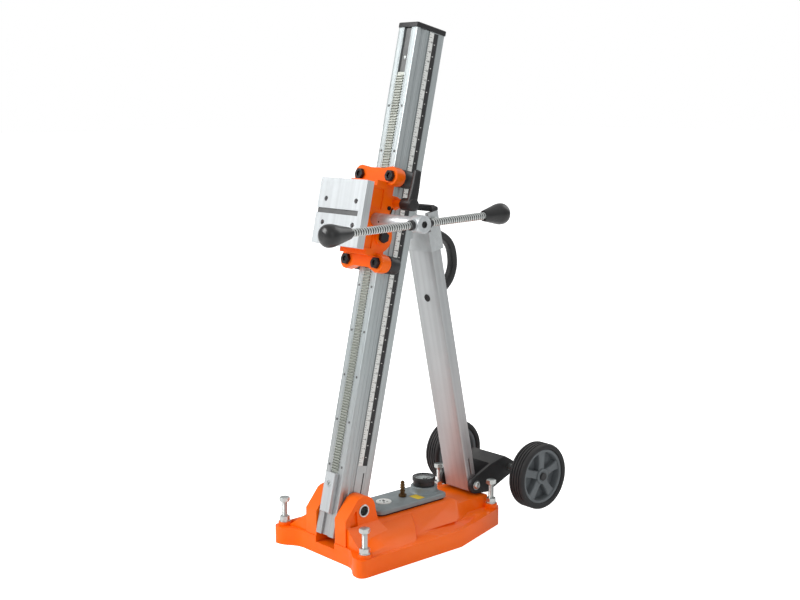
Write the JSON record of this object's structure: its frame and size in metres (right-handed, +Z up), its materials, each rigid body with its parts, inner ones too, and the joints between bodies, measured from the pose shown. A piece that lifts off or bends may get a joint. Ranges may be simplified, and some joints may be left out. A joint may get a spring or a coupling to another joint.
{
  "type": "core drill rig",
  "caption": "Core drill rig: tilting aluminium rack column on a vacuum base, with a hand-cranked roller carriage, tool plate, rear strut and transport wheels.",
  "frame": {"origin": "on the floor under the column pivot, on the centre plane, at the base casting underside", "axes": "+Z up, -Y towards the tool side, +X towards the crank handle"},
  "size_m": [0.356, 0.7197, 1.1061],
  "materials": {
    "orange_paint": "glossy powder coat over a casting",
    "anodised_aluminium": "clear anodised extrusion",
    "cast_aluminium": "bead blasted casting",
    "machined_aluminium": "fine milled",
    "polished_aluminium": "turned and polished",
    "zinc_steel": "bright zinc plated",
    "gear_steel": "machined steel, lightly oiled",
    "black_steel": "black oxide or black paint",
    "black_plastic": "moulded",
    "scale_white": "printed or moulded, satin",
    "grey_paint": "blue-grey enamel",
    "brass": "dull, turned",
    "rubber": "matte",
    "tyre": "grooved tread",
    "grey_plastic": "moulded grey nylon",
    "clear_lens": "clear"
  },
  "bodies": {
    "base": {"base_casting": "orange_paint", "base_seal": "rubber", "pivot_tube": "zinc_steel", "vacuum_cover": "grey_paint", "cover_gasket": "rubber", "gauge_case": "black_plastic", "gauge_lens": "clear_lens", "hose_nipple": "brass", "wheel_frame": "black_steel", "wheel_axle": "zinc_steel", "foot_bolt": "zinc_steel", "lock_nut_front_left": "zinc_steel", "lock_nut_front_right": "zinc_steel", "lock_nut_rear_left": "zinc_steel", "lock_nut_rear_right": "zinc_steel"},
    "column": {"column_profile": "anodised_aluminium", "column_cap": "black_plastic", "toothed_rack": "gear_steel", "scale_tape": "scale_white", "mark_tape": "black_plastic", "lower_stop": "anodised_aluminium", "stop_screw": "zinc_steel"},
    "carriage": {"carriage_body": "orange_paint", "tool_plate": "machined_aluminium", "guide_bolt_lower_left": "black_steel", "guide_bolt_lower_right": "black_steel", "guide_bolt_upper_left": "black_steel", "guide_bolt_upper_right": "black_steel"},
    "pinion": {"pinion_shaft": "black_steel", "reduction_gear": "gear_steel"},
    "crank": {"spindle": "gear_steel", "spindle_sleeve": "polished_aluminium", "handle_hub": "polished_aluminium", "hub_screw": "black_steel", "handle_rod": "zinc_steel", "knob_front": "black_plastic", "knob_rear": "black_plastic"},
    "lever": {"clamp_screw": "gear_steel", "clamp_lever": "black_plastic"},
    "bracket": {"tilt_bracket": "cast_aluminium"},
    "strut": {"strut_tube": "anodised_aluminium", "strut_head": "cast_aluminium", "strut_cap": "black_plastic", "head_pin_left": "zinc_steel", "head_pin_right": "zinc_steel", "carry_handle": "black_plastic"},
    "needle": {"gauge_needle": "black_plastic"},
    "valve": {"vent_valve": "scale_white"},
    "wheel_left": {"tyre_left": "tyre", "rim_left": "grey_plastic"},
    "wheel_right": {"tyre_right": "tyre", "rim_right": "grey_plastic"},
    "roller_lower_left": {"guide_roller_lower_left": "black_plastic"},
    "roller_lower_right": {"guide_roller_lower_right": "black_plastic"},
    "roller_upper_left": {"guide_roller_upper_left": "black_plastic"},
    "roller_upper_right": {"guide_roller_upper_right": "black_plastic"},
    "screw_front_left": {"levelling_screw_front_left": "zinc_steel"},
    "screw_front_right": {"levelling_screw_front_right": "zinc_steel"},
    "screw_rear_left": {"levelling_screw_rear_left": "zinc_steel"},
    "screw_rear_right": {"levelling_screw_rear_right": "zinc_steel"}
  },
  "joints": [
    {"name": "column_tilt", "type": "hinge", "parent": "base", "child": "column", "pos_m": [0, 0, 0.105], "axis": [-1, 0, 0], "range_deg": [-12.68, 32.32]},
    {"name": "strut_swing", "type": "hinge", "parent": "base", "child": "strut", "pos_m": [0, 0.345, 0.084], "axis": [-1, 0, 0], "range_deg": [-15.4, 39]},
    {"name": "bracket_slide", "type": "slide", "parent": "column", "child": "bracket", "axis": [0, 0.2195, 0.9756], "range_m": [-0.0825, 0.2075]},
    {"name": "carriage_slide", "type": "slide", "parent": "column", "child": "carriage", "axis": [0, 0.2195, 0.9756], "range_m": [-0.42, 0.29]},
    {"name": "pinion_spin", "type": "hinge", "parent": "carriage", "child": "pinion", "pos_m": [0, 0.06624, 0.6682], "axis": [1, 0, 0], "range_deg": [-925.1, 1338.9]},
    {"name": "crank_turn", "type": "hinge", "parent": "carriage", "child": "crank", "pos_m": [0, 0.05321, 0.70495], "axis": [1, 0, 0], "range_deg": [-3010.03, 2078.97]},
    {"name": "clamp_lever_turn", "type": "hinge", "parent": "carriage", "child": "lever", "pos_m": [0, 0.10883, 0.73446], "axis": [1, 0, 0], "range_deg": [-45, 60]},
    {"name": "needle_swing", "type": "hinge", "parent": "base", "child": "needle", "pos_m": [0, 0.23, 0.1], "axis": [0, 0, -1], "range_deg": [0, 270], "stiffness_Nm_per_rad": 0.0005},
    {"name": "valve_turn", "type": "hinge", "parent": "base", "child": "valve", "pos_m": [0, 0.111, 0.084], "axis": [0, 0, 1], "range_deg": [0, 90]},
    {"name": "roller_spin_lower_left", "type": "hinge", "parent": "carriage", "child": "roller_lower_left", "pos_m": [-0.0475, 0.09048, 0.60739], "axis": [0, 0.9756, -0.2195], "range_deg": [-1295.78, 895.32]},
    {"name": "roller_spin_upper_left", "type": "hinge", "parent": "carriage", "child": "roller_upper_left", "pos_m": [-0.0475, 0.12999, 0.783], "axis": [0, 0.9756, -0.2195], "range_deg": [-1295.78, 895.32]},
    {"name": "wheel_left_spin", "type": "hinge", "parent": "base", "child": "wheel_left", "pos_m": [-0.1367, 0.454, 0.1057], "axis": [1, 0, 0], "continuous": true},
    {"name": "screw_front_left_travel", "type": "slide", "parent": "base", "child": "screw_front_left", "axis": [0, 0, 1], "range_m": [-0.015, 0.015]},
    {"name": "screw_rear_left_travel", "type": "slide", "parent": "base", "child": "screw_rear_left", "axis": [0, 0, 1], "range_m": [-0.015, 0.015]},
    {"name": "roller_spin_lower_right", "type": "hinge", "parent": "carriage", "child": "roller_lower_right", "pos_m": [0.0475, 0.09048, 0.60739], "axis": [0, 0.9756, -0.2195], "range_deg": [-895.32, 1295.78]},
    {"name": "roller_spin_upper_right", "type": "hinge", "parent": "carriage", "child": "roller_upper_right", "pos_m": [0.0475, 0.12999, 0.783], "axis": [0, 0.9756, -0.2195], "range_deg": [-895.32, 1295.78]},
    {"name": "wheel_right_spin", "type": "hinge", "parent": "base", "child": "wheel_right", "pos_m": [0.1367, 0.454, 0.1057], "axis": [1, 0, 0], "continuous": true},
    {"name": "screw_front_right_travel", "type": "slide", "parent": "base", "child": "screw_front_right", "axis": [0, 0, 1], "range_m": [-0.015, 0.015]},
    {"name": "screw_rear_right_travel", "type": "slide", "parent": "base", "child": "screw_rear_right", "axis": [0, 0, 1], "range_m": [-0.015, 0.015]}
  ],
  "couplings": [
    {"joint": "strut_swing", "follows": "column_tilt", "ratio": 1.2},
    {"joint": "bracket_slide", "follows": "column_tilt", "m_per_rad": 0.365},
    {"joint": "pinion_spin", "follows": "carriage_slide", "rad_per_m": -55.556},
    {"joint": "crank_turn", "follows": "carriage_slide", "rad_per_m": 125},
    {"joint": "roller_spin_lower_left", "follows": "carriage_slide", "rad_per_m": 53.763},
    {"joint": "roller_spin_upper_left", "follows": "carriage_slide", "rad_per_m": 53.763},
    {"joint": "roller_spin_lower_right", "follows": "carriage_slide", "rad_per_m": -53.763},
    {"joint": "roller_spin_upper_right", "follows": "carriage_slide", "rad_per_m": -53.763}
  ]
}
